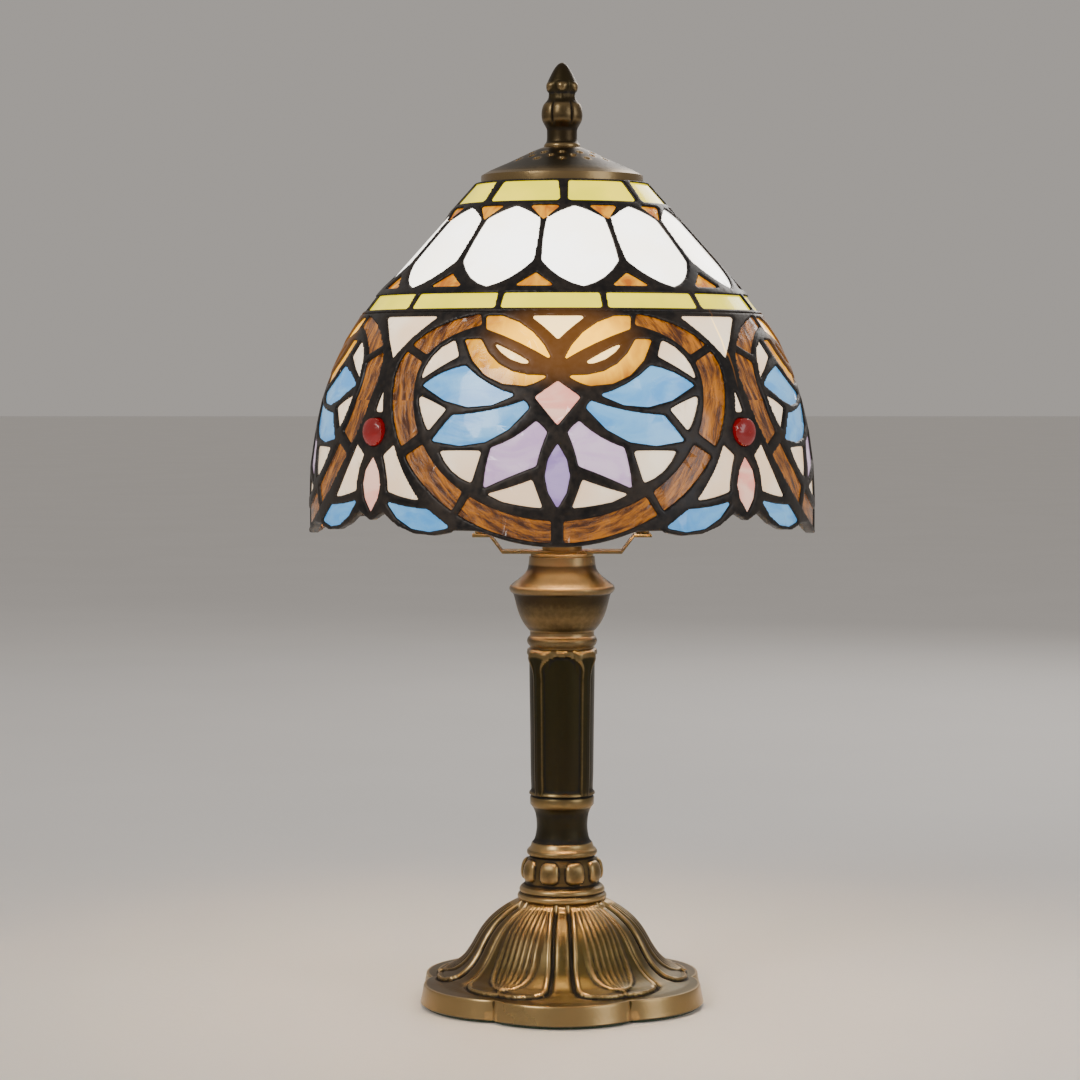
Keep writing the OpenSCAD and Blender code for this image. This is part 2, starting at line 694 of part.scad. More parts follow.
bush_z = 16;
bush_r = 4;
bush_bore = 2.6;
bush_out = dome_foot_r - 3;
bush_in = bush_out - 13;
bush_flange = 1.5;
bush_lip = 1.4;

module base() color("darkolivegreen")
  difference() {
    union() {
      translate([0, 0, foot_z]) linear_extrude(rim_step_z - foot_z) lobed(foot_r, notch_r);
      translate([0, 0, rim_step_z]) linear_extrude(flange_z - rim_step_z)
        lobed(foot_r - rim_step, notch_r - rim_step);
      translate([0, 0, flange_z - eps]) linear_extrude(tread_z - flange_z + eps)
        lobed(foot_r - tread_in, notch_r - tread_notch_in);
      rotate_extrude() polygon(concat([[0, tread_z - eps], [dome_foot_r, tread_z - eps]],
        dome_line, [[0, hub_z]]));
    }
    rotate_extrude()
      polygon([[0, foot_z - eps], [cavity_r, foot_z - eps], [cavity_r, tread_z - base_wall],
        for (i = [1 : len(dome_line) - 3]) dome_line[i] - [base_wall, base_wall / 2],
        [base_hub_r, under_z], [0, under_z]]);
    cylinder(h = hub_z + eps, r = pipe_r + pipe_gap);
    translate([0, bush_in - eps, bush_z]) rotate([-90, 0, 0])
      cylinder(h = dome_foot_r - bush_in, r = bush_r, $fn = 48);
    translate([0, bush_out, bush_z]) rotate([-90, 0, 0])
      cylinder(h = dome_foot_r - bush_out + eps, r = bush_r + bush_lip, $fn = 48);
  }

// Insulating bushing that lines the rear outlet
module cord_bushing() color("black")
  translate([0, bush_in, bush_z]) rotate([-90, 0, 0])
    difference() {
      union() {
        cylinder(h = bush_out - bush_in, r = bush_r, $fn = 48);
        translate([0, 0, bush_out - bush_in]) cylinder(h = bush_flange, r = bush_r + bush_lip);
      }
      translate([0, 0, -eps])
        cylinder(h = bush_out - bush_in + bush_flange + 2 * eps, r = bush_bore, $fn = 48);
    }

module washer(z, h, r)
  translate([0, 0, z])
    difference() {
      cylinder(h = h, r = r);
      translate([0, 0, -eps]) cylinder(h = h + 2 * eps, r = pipe_r + pipe_gap);
    }

module lock_washer() color("silver") washer(under_z - lock_t, lock_t, nut_af / 2);
module neck_washer() color("darkgoldenrod") washer(cup_z, washer_t, cup_neck_r - eps);

// Hex nuts: one under the base, one inside the cup on top of the column
cup_floor_t = 1;
cup_nut_z = collar_z + cup_floor_t;
module pipe_nuts() color("silver")
  for (z = [under_z - lock_t - nut_h, cup_nut_z])
    translate([0, 0, z])
      difference() {
        cylinder(h = nut_h, d = nut_af / cos(30), $fn = 6);
        translate([0, 0, -eps]) cylinder(h = nut_h + 2 * eps, r = pipe_r);
      }

pipe_low_z = 24;
module threaded_pipe() color("silver")
  translate([0, 0, pipe_low_z])
    difference() {
      cylinder(h = socket_z + pipe_in_socket - pipe_low_z, r = pipe_r);
      translate([0, 0, -eps])
        cylinder(h = socket_z + pipe_in_socket - pipe_low_z + 2 * eps, r = pipe_bore);
    }

// A turned piece on the pipe, standing at a height, from an outer line measured from there
module turned(line, low)
  translate([0, 0, low])
    difference() {
      high = line[len(line) - 1][1];
      rotate_extrude() polygon(concat([[0, 0]], line, [[0, high]]));
      translate([0, 0, -eps]) cylinder(h = high + 2 * eps, r = pipe_r + pipe_gap);
    }

knop_h = knop_z - hub_z;
knop_top_r = 12.3;
knop_line = [[base_hub_r, 0], [17.5, 3.1], [16, 6.2], [15.4, 7.8], [15.4, 15.8], [13.8, 17.4],
  [14.1, 19.2], [13.5, 20.8], [knop_top_r, knop_h]];
cabochons = 9;
cabochon_r = 5;
cabochon_z = 11.8;
cabochon_at = 11.7;
module base_knop() color("darkolivegreen")
  difference() {
    union() {
      turned(knop_line, hub_z);
      for (i = [0 : cabochons - 1]) rotate((i + 0.5) * 360 / cabochons)
        translate([0, -cabochon_at, hub_z + cabochon_z]) sphere(r = cabochon_r, $fn = 48);
    }
    translate([0, 0, hub_z]) cylinder(h = knop_h, r = pipe_r + pipe_gap);
  }

// Its foot is measured from the knop, and its head from the collar
collar_r = 13.2;
column_line = [[knop_top_r, 0], [11.1, 1.4], [10.4, 5], [10.3, 7.8], [10.9, 12.6], [12.7, 15.4],
  [12.7, 19.2], [13.1, 22], [shaft_r - 0.3, 28], [shaft_r, column_h - 25.4],
  [shaft_r + 0.5, column_h - 11.4], [shaft_r + 1.4, column_h - 3.8],
  [shaft_r + 1.5, column_h - 2.2], [collar_r, column_h]];
panels = 4;
panel_w = 15.6;
panel_deep = 0.8;
panel_low = 21;
panel_high = column_h - 10.4;

// One arched panel, cut to an even depth under the column's skin
module panel_cut()
  difference() {
    rotate([90, 0, 0]) linear_extrude(2 * shaft_r) {
      translate([-panel_w / 2, panel_low]) square([panel_w, panel_high - panel_low]);
      translate([0, panel_high]) circle(d = panel_w, $fn = 48);
    }
    rotate_extrude()
      polygon(concat([[0, 0]], [for (p = column_line) p - [panel_deep, 0]], [[0, column_h]]));
  }

module column() color("darkolivegreen")
  difference() {
    turned(column_line, knop_z);
    for (i = [0 : panels - 1]) rotate(i * 360 / panels) translate([0, 0, knop_z]) panel_cut();
  }

collar_top_r = 12.8;
collar_line = [[collar_r, 0], [14.1, 1.8], [14.1, 3.2], [13.6, 4.6], [collar_top_r, collar_h]];
module collar() color("darkolivegreen") turned(collar_line, column_z);

cup_neck_r = 13.1;
cup_line = [[collar_top_r, 0], [15.2, 2.9], [17, 6.1], [18.2, 9.4], [19.4, 14.2], [21.2, 17.4],
  [21, 19.2], [19.2, 20.8], [16.2, 22.4], [14.3, 24.2], [13.5, 26.4], [cup_neck_r, cup_h]];
nut_room = 4;
nut_side = 2.2;
module cup() color("darkolivegreen")
  difference() {
    turned(cup_line, collar_z);
    translate([0, 0, cup_nut_z]) cylinder(h = nut_h + nut_room, r = nut_af / 2 + nut_side);
  }

// The shade and finial stand over the top of the cup
module on_cup() translate([0, 0, cup_z]) children();

base_felt();
base();
base_knop();
column();
collar();
cup();
threaded_pipe();
pipe_nuts();
lock_washer();
cord_bushing();
neck_washer();
harp_saddle();
harp_sleeve_left();
harp_sleeve_right();
harp_wire();
harp_top();
harp_spindle();
socket_cap();
socket_shell();
socket_liner();
socket_body();
socket_screw_shell();
socket_contact();
switch_knob();
bulb_base();
bulb_glass();
bulb_filament();
on_cup() shade_cap();
on_cup() shade_top_ring();
on_cup() finial();
on_cup() solder_crown();
on_cup() solder_skirt();
on_cup() green_top();
on_cup() amber_darts();
on_cup() white_hexes();
on_cup() amber_gables();
on_cup() green_band();
on_cup() amber_ring();
on_cup() amber_lenses();
on_cup() amber_scrolls();
on_cup() blue_upper_petals();
on_cup() blue_lower_petals();
on_cup() blue_scallops();
on_cup() pink_diamonds();
on_cup() pink_drops();
on_cup() lavender_petals();
on_cup() violet_lenses();
on_cup() red_jewels();
on_cup() cream_eyes();
on_cup() cream_peaks();
on_cup() cream_corners();
on_cup() cream_fields();
on_cup() cream_flanks();
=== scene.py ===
# %% [markdown]
# # A leaded glass table lamp
# A stained glass lamp is three crafts in one object: sheet glass cut to a pattern, a web of
# solder that holds the pieces, and a bronze stand cast in sections and stacked on a pipe.
# The engineering model gives every size and every joint. This lesson adds the looks: it
# reads each place from that model and never changes it.

# %% Load the engineering model
import json
import math

import bpy
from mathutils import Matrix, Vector

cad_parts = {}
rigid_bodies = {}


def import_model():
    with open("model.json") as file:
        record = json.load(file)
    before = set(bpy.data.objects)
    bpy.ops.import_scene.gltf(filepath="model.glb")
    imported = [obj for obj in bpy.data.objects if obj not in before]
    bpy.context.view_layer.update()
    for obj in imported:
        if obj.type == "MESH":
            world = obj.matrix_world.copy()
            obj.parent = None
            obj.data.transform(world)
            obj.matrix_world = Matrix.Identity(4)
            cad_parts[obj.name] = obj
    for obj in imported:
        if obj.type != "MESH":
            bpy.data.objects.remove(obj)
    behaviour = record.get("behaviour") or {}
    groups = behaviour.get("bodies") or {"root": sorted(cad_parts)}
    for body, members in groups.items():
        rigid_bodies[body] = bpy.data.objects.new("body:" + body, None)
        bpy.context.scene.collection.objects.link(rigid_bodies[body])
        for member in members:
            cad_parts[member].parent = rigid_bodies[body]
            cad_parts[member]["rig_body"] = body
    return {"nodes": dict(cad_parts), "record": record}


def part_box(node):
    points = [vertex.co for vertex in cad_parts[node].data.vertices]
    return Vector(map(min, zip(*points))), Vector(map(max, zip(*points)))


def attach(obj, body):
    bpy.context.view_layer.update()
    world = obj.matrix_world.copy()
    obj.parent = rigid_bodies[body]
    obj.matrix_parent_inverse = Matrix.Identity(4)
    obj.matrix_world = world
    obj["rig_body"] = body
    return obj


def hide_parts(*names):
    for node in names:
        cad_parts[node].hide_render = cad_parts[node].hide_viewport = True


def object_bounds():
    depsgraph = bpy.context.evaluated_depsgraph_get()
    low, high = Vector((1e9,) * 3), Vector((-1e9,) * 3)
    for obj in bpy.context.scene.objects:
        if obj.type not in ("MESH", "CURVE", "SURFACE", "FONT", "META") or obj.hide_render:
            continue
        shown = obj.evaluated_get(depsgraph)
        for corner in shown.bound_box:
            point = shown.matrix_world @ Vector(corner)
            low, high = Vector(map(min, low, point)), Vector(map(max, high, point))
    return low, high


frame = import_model()
cad_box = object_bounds()
nodes = frame["nodes"]
scene = bpy.context.scene
MM = 0.001
corners = [tuple(round(v, 4) for v in corner) for corner in cad_box]
print("nodes:", len(nodes), "box:", corners)

# %% [markdown]
# ## Camera
# A long lens from a little over a metre keeps the stand's uprights straight and still shows
# the foot from above. The camera looks slightly down, from just above the shade's rim.

# %% Camera
EYE_DISTANCE = 1.194
EYE_HEIGHT = 0.2552
TILT_DOWN = math.radians(3.29)
FOCAL_MM = 98.96
FRAME_SHIFT = -0.0204
SENSOR_MM = 36

lens = bpy.data.cameras.new("front_camera")
lens.lens = FOCAL_MM
lens.sensor_width = SENSOR_MM
lens.shift_x = FRAME_SHIFT
camera = bpy.data.objects.new("front_camera", lens)
camera.location = (0, -EYE_DISTANCE, EYE_HEIGHT)
camera.rotation_euler = (math.pi / 2 - TILT_DOWN, 0, 0)
scene.collection.objects.link(camera)
scene.camera = camera
print("camera", tuple(camera.location))

# %% [markdown]
# ## Helpers for shaping
# A piece is made the way a modeller works at the screen: a primitive is added, edit-mode
# operators shape it, and modifiers finish it. These helpers keep the selection clean, since
# an operator acts on everything that is selected.

# %% Selection and modifier helpers
WELD = 0.01 * MM


def only(obj):
    """Make one object the selected and active one."""
    bpy.ops.object.select_all(action="DESELECT")
    obj.select_set(True)
    bpy.context.view_layer.objects.active = obj


def named(name):
    """Take the object an operator just added, and name it and its mesh."""
    obj = bpy.context.active_object
    obj.name = name
    obj.data.name = name
    return obj


def apply_modifier(obj, kind, **settings):
    """Add a modifier, set it, and apply it to the mesh."""
    only(obj)
    modifier = obj.modifiers.new(kind.title(), kind)
    for key, value in settings.items():
        setattr(modifier, key, value)
    bpy.ops.object.modifier_apply(modifier=modifier.name)


def settle(obj):
    """Put the object's place into its mesh, so the object itself sits at the origin."""
    only(obj)
    bpy.ops.object.transform_apply(location=True, rotation=True, scale=True)


def smooth(obj, degrees=40):
    only(obj)
    bpy.ops.object.shade_smooth_by_angle(angle=math.radians(degrees))


def welded_copy(node_name, name):
    """A copy of an engineering node whose loose triangles are joined at their corners."""
    source = nodes[node_name]
    obj = bpy.data.objects.new(name, source.data.copy())
    obj.data.name = name
    obj.data.materials.clear()
    scene.collection.objects.link(obj)
    only(obj)
    bpy.ops.object.mode_set(mode="EDIT")
    bpy.ops.mesh.select_all(action="SELECT")
    bpy.ops.mesh.remove_doubles(threshold=WELD)
    bpy.ops.object.mode_set(mode="OBJECT")
    return obj


def stands_for(obj, node_name):
    """Show this piece in place of an engineering node, on the same body."""
    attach(obj, nodes[node_name]["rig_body"])
    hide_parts(node_name)


slot_of = {part["node"]: part["material_slot"] for part in frame["record"]["subparts"]}
print("material slots:", len(set(slot_of.values())))

# %% [markdown]
# ## Shader maths as Python
# A node tree is easier to read as a formula. `Socket` wraps a node's output so that
# `1 - mask` or `a * b` adds the Math node for it, and `Shader.node` adds any other node
# from its type, its settings and its inputs.

# %% Shader maths helpers
class Socket:
    """A value in a node tree that can be added, multiplied and compared."""

    def __init__(self, tree, socket):
        self.tree = tree
        self.socket = socket

    def maths(self, operation, *values):
        return Shader.add(self.tree, "ShaderNodeMath", {"operation": operation}, *values)

    def __add__(self, other):
        return self.maths("ADD", self, other)

    def __sub__(self, other):
        return self.maths("SUBTRACT", self, other)

    def __rsub__(self, other):
        return self.maths("SUBTRACT", other, self)

    def __mul__(self, other):
        return self.maths("MULTIPLY", self, other)

    def __truediv__(self, other):
        return self.maths("DIVIDE", self, other)

    def __rtruediv__(self, other):
        return self.maths("DIVIDE", other, self)

    def __pow__(self, other):
        return self.maths("POWER", self, other)

    def least(self, other):
        return self.maths("MINIMUM", self, other)

    def size(self):
        return self.maths("ABSOLUTE", self)

    def wave(self):
        return self.maths("SINE", self)

    def ramp(self, low, high):
        """0 at low, 1 at high, with soft ends."""
        settings = {"interpolation_type": "SMOOTHSTEP"}
        return Shader.add(self.tree, "ShaderNodeMapRange", settings, self, low, high)

    __radd__ = __add__
    __rmul__ = __mul__


class Shader:
    """A material whose Principled node takes its inputs by name."""

    def __init__(self, name):
        self.material = bpy.data.materials.new(name)
        self.material.use_nodes = True
        self.tree = self.material.node_tree
        self.principled = self.tree.nodes["Principled BSDF"]
        self.place = self.node("ShaderNodeTexCoord", output="Object")

    @staticmethod
    def add(tree, kind, settings, *inputs, output=0, **by_name):
        node = tree.nodes.new(kind)
        for key, value in settings.items():
            setattr(node, key, value)
        for key, value in list(enumerate(inputs)) + list(by_name.items()):
            name = key.replace("_", " ") if isinstance(key, str) else key
            if isinstance(value, Socket):
                tree.links.new(value.socket, node.inputs[name])
            elif value is not None:
                node.inputs[name].default_value = value
        return Socket(tree, node.outputs[output])

    def node(self, kind, settings=None, *inputs, output=0, **by_name):
        return Shader.add(self.tree, kind, settings or {}, *inputs, output=output, **by_name)

    def stretched(self, scale, turn=(0, 0, 0)):
        """Object coordinates, scaled and turned for a pattern."""
        return self.node("ShaderNodeMapping", {}, self.place, (0, 0, 0), turn, scale)

    def noise(self, scale, detail=3, roughness=0.5, distortion=0, at=None):
        return self.node("ShaderNodeTexNoise", {}, Vector=at or self.place, Scale=scale,
                         Detail=detail, Roughness=roughness, Distortion=distortion)

    def mix(self, factor, low, high):
        """Blend two colours; each is a tuple or a Socket."""
        low = low if isinstance(low, Socket) else (*low, 1)
        high = high if isinstance(high, Socket) else (*high, 1)
        return Shader.add(self.tree, "ShaderNodeMix", {"data_type": "RGBA"}, factor,
                          None, None, None, None, None, low, high, output=2)

    def axes(self):
        split = self.node("ShaderNodeSeparateXYZ", {}, self.place)
        return [Socket(self.tree, split.socket.node.outputs[i]) for i in range(3)]

    def bump(self, height, strength, distance):
        return self.node("ShaderNodeBump", {}, Strength=strength, Distance=distance,
                         Height=height)

    def finish(self, **inputs):
        """Set or link the Principled node's inputs."""
        for key, value in inputs.items():
            socket = self.principled.inputs[key.replace("_", " ")]
            if isinstance(value, Socket):
                self.tree.links.new(value.socket, socket)
            else:
                socket.default_value = (*value, 1) if isinstance(value, tuple) else value
        return self.material


def paint(obj, material):
    obj.data.materials.clear()
    obj.data.materials.append(material)


print("shader helpers ready")

# %% [markdown]
# ## Floor, light and air
# A pale floor and broad soft lamps suit a shiny, detailed object: they wrap round the
# bronze without hard spots. The bulb's own glass glows, so it needs no lamp inside it.

# %% Floor
FLOOR_WIDTH = 30


def pale_floor():
    shader = Shader("pale_floor")
    grain = shader.noise(220, detail=6)
    cloud = shader.noise(6, detail=3)
    colour = shader.mix(cloud * 0.5 + grain * 0.3, (0.74, 0.72, 0.70), (0.86, 0.84, 0.82))
    return shader.finish(Base_Color=colour, Roughness=grain * 0.2 + 0.45,
                         Normal=shader.bump(grain, 0.25, 0.0006))


bpy.ops.object.select_all(action="DESELECT")
bpy.ops.mesh.primitive_plane_add(size=FLOOR_WIDTH)
floor = named("floor")
paint(floor, pale_floor())
print("floor", floor.dimensions)

# %% Lights
def soft_light(name, place, aim, width, watts, colour=(1, 1, 1)):
    light = bpy.data.lights.new(name, "AREA")
    light.shape = "DISK"
    light.size = width
    light.energy = watts
    light.color = colour
    obj = bpy.data.objects.new(name, light)
    obj.location = place
    obj.rotation_euler = (Vector(aim) - Vector(place)).to_track_quat("-Z", "Y").to_euler()
    scene.collection.objects.link(obj)
    return obj


CENTRE = (0, 0, 0.2)
GLOBE_RADIUS = 28 * MM
soft_light("key_light", (-0.9, -1.1, 1.1), CENTRE, 0.7, 11, (1, 0.98, 0.95))
soft_light("fill_light", (1.2, -0.8, 0.6), CENTRE, 0.9, 5, (0.95, 0.97, 1))
soft_light("rim_light", (0.5, 1.2, 0.9), CENTRE, 0.8, 6, (1, 0.96, 0.92))

BULB = Vector((0, 0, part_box("bulb_glass")[1].z - GLOBE_RADIUS))

scene.world = scene.world or bpy.data.worlds.new("air")
scene.world.use_nodes = True
air = scene.world.node_tree.nodes["Background"]
air.inputs["Color"].default_value = (0.64, 0.6, 0.56, 1)
air.inputs["Strength"].default_value = 0.62
print("bulb at", tuple(round(v, 4) for v in BULB))

# %% [markdown]
# ## Light in the glass
# Art glass glows where the bulb stands close behind it. The pieces' own colours are mixed by
# a pattern, and one shared field says how strongly each spot is lit: it falls off with the
# distance to the bulb, and a second field marks each heart's top, where the bulb is nearest.

# %% How strongly a spot is lit
LIT_AT = 0.075
FALL_OFF = 1.3
HEART_HEIGHT = 0.2435
HOT_HEIGHT = 0.264
HOT_SPREAD = (0.026, 0.013)
PANEL_SEAM = 0.002


def across_panel(shader):
    """Sideways place on the nearest of the four panels, and height, in metres."""
    x, y, z = shader.axes()
    front = y.size().ramp(x.size() - PANEL_SEAM, x.size() + PANEL_SEAM)
    return x * front + y * (1 - front), z


def lit_field(shader):
    bulb = shader.node("ShaderNodeVectorMath", {"operation": "DISTANCE"}, shader.place,
                       tuple(BULB), output=1)
    return ((LIT_AT / bulb) ** FALL_OFF).least(1)


def hot_field(shader):
    """1 at the top of a heart, where the bulb is seen straight through the glass."""
    across, height = across_panel(shader)
    wide, tall = HOT_SPREAD
    spread = (across / wide) ** 2 + ((height - HOT_HEIGHT) / tall) ** 2
    return 1 - spread.ramp(0.1, 1.9)


# %% [markdown]
# ## Art glass
# Rolled glass is never one colour: opal sheet is cloudy, wispy sheet drifts between two
# tints, and cathedral sheet is drawn out in streaks. Each sheet takes a pattern, a daylight
# pair of colours and a lit pair, with a slow ripple in its surface.

# %% Sheet glass
def cloudy(shader, scale=28):
    drift = shader.noise(1.3, detail=2, at=shader.stretched((scale, scale, scale * 1.4)))
    fine = shader.noise(140, detail=2)
    return (drift * 0.8 + fine * 0.2).ramp(0.32, 0.68)


def wispy(shader, turn=0.4):
    at = shader.stretched((40, 40, 90), (0, turn, turn))
    return shader.noise(1, detail=4, distortion=1.2, at=at).ramp(0.34, 0.66)


def drawn(shader):
    at = shader.stretched((160, 160, 30), (0.3, 0.9, 0.2))
    return shader.noise(1, detail=5, distortion=0.8, at=at).ramp(0.35, 0.65)


def combed(shader):
    """Streaks that follow the ring of a heart round its centre."""
    across, height = across_panel(shader)
    up = height - HEART_HEIGHT
    reach = (across * across + up * up) ** 0.5
    turn = shader.node("ShaderNodeMath", {"operation": "ARCTAN2"}, up, across)
    drift = shader.noise(60, detail=2)
    at = shader.node("ShaderNodeCombineXYZ", {}, reach * 620 + drift * 2.4, turn * 5.2, drift)
    return shader.noise(1, detail=5, roughness=0.62, distortion=0.35, at=at).ramp(0.34, 0.68)


def sheet_glass(name, pattern, deep, pale, lit_deep, lit_pale, strength, hot=None, ripple=0.35):
    """Daylight colours deep and pale, lit colours, and how brightly the sheet passes light."""
    shader = Shader(name)
    streak = pattern(shader)
    lit = shader.mix(streak, lit_deep, lit_pale)
    if hot:
        lit = shader.mix(hot_field(shader), lit, hot)
    glow = shader.mix(lit_field(shader), (0, 0, 0), lit)
    wave = shader.noise(90, detail=2)
    height = wave * 0.6 + streak * 0.4
    return shader.finish(
        Base_Color=shader.mix(streak, deep, pale), Emission_Color=glow,
        Emission_Strength=strength, Roughness=wave * 0.2 + 0.16, Coat_Weight=0.6,
        Coat_Roughness=0.06, IOR=1.52, Normal=shader.bump(height, ripple, 0.0008))


GOLDEN = (3.6, 1.75, 0.02)
GLASS = {
    "white_glass": sheet_glass("opal_white", cloudy, (0.78, 0.74, 0.66), (0.86, 0.84, 0.8),
                               (1, 0.93, 0.8), (1, 0.98, 0.93), 4.2),
    "green_glass": sheet_glass("mottled_green", cloudy, (0.15, 0.28, 0.005), (0.4, 0.46, 0.02),
                               (0.85, 0.68, 0.0), (1, 0.76, 0.01), 2.0),
    "gold_glass": sheet_glass("streaky_gold", drawn, (0.24, 0.07, 0.0), (0.62, 0.27, 0.0),
                              (0.55, 0.13, 0.0), (1, 0.42, 0.0), 1.15, hot=GOLDEN, ripple=0.7),
    "amber_glass": sheet_glass("combed_amber", combed, (0.03, 0.008, 0.001),
                               (0.26, 0.085, 0.006), (0.075, 0.014, 0.0), (0.75, 0.24, 0.003),
                               0.85, hot=(2.6, 1.0, 0.01), ripple=0.9),
    "sky_glass": sheet_glass("wispy_sky", wispy, (0.05, 0.25, 0.58), (0.14, 0.4, 0.72),
                             (0.08, 0.4, 0.88), (0.2, 0.56, 0.96), 1.2),
    "pink_glass": sheet_glass("wispy_pink", wispy, (0.72, 0.25, 0.22), (0.85, 0.5, 0.42),
                              (1, 0.38, 0.28), (1, 0.58, 0.4), 1.6),
    "lavender_glass": sheet_glass("wispy_lavender", wispy, (0.44, 0.3, 0.52),
                                  (0.62, 0.48, 0.66), (0.66, 0.4, 0.68), (0.84, 0.6, 0.8), 1.25),
    "violet_glass": sheet_glass("wispy_violet", wispy, (0.24, 0.15, 0.42), (0.38, 0.28, 0.55),
                                (0.38, 0.23, 0.58), (0.54, 0.38, 0.72), 1.1),
    "cream_glass": sheet_glass("opal_cream", cloudy, (0.72, 0.58, 0.42), (0.82, 0.72, 0.58),
                               (1, 0.66, 0.38), (1, 0.8, 0.56), 1.75, hot=(2.2, 1.4, 0.4)),
    "ruby_glass": sheet_glass("ruby", cloudy, (0.06, 0.0, 0.0), (0.12, 0.0, 0.001),
                              (0.3, 0.0, 0.0), (0.55, 0.0, 0.0), 0.9, ripple=0.1),
}
print("sheets of glass:", len(GLASS))

# %% Glass pieces
def glazed(node_name):
    """A welded, smooth-shaded copy of one kind of glass piece."""
    obj = welded_copy(node_name, node_name + "_sheet")
    smooth(obj, 24)
    paint(obj, GLASS[slot_of[node_name]])
    stands_for(obj, node_name)
    return obj


glass_nodes = [n for n in nodes if slot_of[n] in GLASS]
for node_name in glass_nodes:
    glazed(node_name)
print("kinds of glass piece:", len(glass_nodes))

# %% [markdown]
# ## Lead lines
# The web between the pieces is solder run along copper foil. Molten solder crowns up into a
# round bead, so the plain strip of the engineering model is remade as small cubes of
# one size and then relaxed, which rounds every corner the way surface tension does.

# %% Lead material
def patina_with_painted_glow():
    shader = Shader("black_patina_painted_glow")
    cloud = shader.noise(60, detail=4)
    speck = shader.noise(420, detail=3)
    dull = (cloud * 0.6 + speck * 0.4).ramp(0.35, 0.7)
    colour = shader.mix(dull, (0.012, 0.011, 0.012), (0.05, 0.038, 0.03))
    # Painted glow: the solder near each heart's top is given an orange emission, as if lit
    # through the glass; the patina colours above are its own.
    painted_glow_share = hot_field(shader) * lit_field(shader)
    glow = shader.mix(painted_glow_share, (0, 0, 0), (0.5, 0.17, 0.01))
    return shader.finish(Base_Color=colour, Metallic=0.55, Roughness=dull * 0.25 + 0.32,
                         Emission_Color=glow, Emission_Strength=0.5,
                         Normal=shader.bump(cloud * 0.7 + speck * 0.3, 0.4, 0.0004))


PATINA_WITH_PAINTED_GLOW = patina_with_painted_glow()


# %% Solder beads
GRAIN = 0.55 * MM
CROWNED = 0.2 * MM


def soldered(node_name, keep):
    """Remake a lead web as rounded beads, then thin its mesh to the share to keep."""
    obj = welded_copy(node_name, node_name + "_beads")
    apply_modifier(obj, "REMESH", mode="VOXEL", voxel_size=GRAIN)
    apply_modifier(obj, "SMOOTH", factor=0.5, iterations=3)
    apply_modifier(obj, "DISPLACE", strength=CROWNED, mid_level=0)
    apply_modifier(obj, "DECIMATE", ratio=keep)
    smooth(obj, 60)
    paint(obj, PATINA_WITH_PAINTED_GLOW)
    stands_for(obj, node_name)
    print(obj.name, "faces", len(obj.data.polygons))
    return obj


soldered("solder_crown", 0.5)
soldered("solder_skirt", 0.3)

# %% [markdown]
# ## The lathe
# The stand is a stack of bronze castings, each round in plan before its relief is added. A
# round piece could start as a cylinder with loop after loop scaled by hand. Spinning one
# outline is cleaner: a single point is extruded along the outline and spun into a skin, and
# the relief is then raised by a Displace modifier that a painted vertex group drives.

# %% Turned pieces
def curved(points, steps=6):
    """More points on a smooth line that passes through a few (radius, height) points."""
    points = [Vector(p) for p in points]
    path = [2 * points[0] - points[1]] + points + [2 * points[-1] - points[-2]]
    line = []
    for a, b, c, d in zip(path, path[1:], path[2:], path[3:]):
        for t in (i / steps for i in range(steps)):
            square = t * t * (2 * a - 5 * b + 4 * c - d)
            cube = t * t * t * (3 * b - a - 3 * c + d)
            line.append((2 * b + t * (c - a) + square + cube) / 2)
    return [tuple(p) for p in line] + [tuple(points[-1])]


def turned(name, outline, steps):
    """Spin a closed outline of (radius, height) points, in millimetres, round the axis."""
    bpy.ops.object.select_all(action="DESELECT")
    bpy.ops.mesh.primitive_plane_add(size=MM)
    obj = named(name)
    bpy.ops.object.mode_set(mode="EDIT")
    bpy.ops.mesh.merge(type="CENTER")
    first = outline[0]
    bpy.ops.transform.translate(value=(first[0] * MM, 0, first[1] * MM))
    for a, b in zip(outline, outline[1:] + [first]):
        step = ((b[0] - a[0]) * MM, 0, (b[1] - a[1]) * MM)
        bpy.ops.mesh.extrude_region_move(TRANSFORM_OT_translate={"value": step})
    bpy.ops.mesh.select_all(action="SELECT")
    bpy.ops.mesh.spin(steps=steps, angle=2 * math.pi, center=(0, 0, 0), axis=(0, 0, 1))
    bpy.ops.mesh.select_all(action="SELECT")
    bpy.ops.mesh.remove_doubles(threshold=WELD)
    bpy.ops.mesh.normals_make_consistent(inside=False)
    bpy.ops.object.mode_set(mode="OBJECT")
    print(name, "faces", len(obj.data.polygons))
    return obj


def polar(point):
    """Degrees round from the front, and radius and height in millimetres."""
    turn = math.degrees(math.atan2(point.x, -point.y))
    return turn, math.hypot(point.x, point.y) / MM, point.z / MM


def raise_relief(obj, relief, depth):
    """Lift the skin along its normals by relief(turn, radius, height), a share of depth."""
    group = obj.vertex_groups.new(name="relief")
    for vertex in obj.data.vertices:
        share = relief(*polar(vertex.co))
        if share > 0:
            group.add([vertex.index], min(share, 1), "REPLACE")
    apply_modifier(obj, "DISPLACE", vertex_group="relief", strength=depth * MM, mid_level=0)


def ease(value, low, high):
    """0 below low, 1 above high, and a soft step between."""
    t = min(max((value - low) / (high - low), 0), 1)
    return t * t * (3 - 2 * t)


def bead(value, centre, half):
    """A rounded ridge, 1 at its centre and 0 past its half width."""
    return max(1 - ((value - centre) / half) ** 2, 0)


def repeat(turn, count, start=0):
    """Degrees from the middle of the nearest of count equal sectors."""
    sector = 360 / count
    return (turn - start + sector / 2) % sector - sector / 2


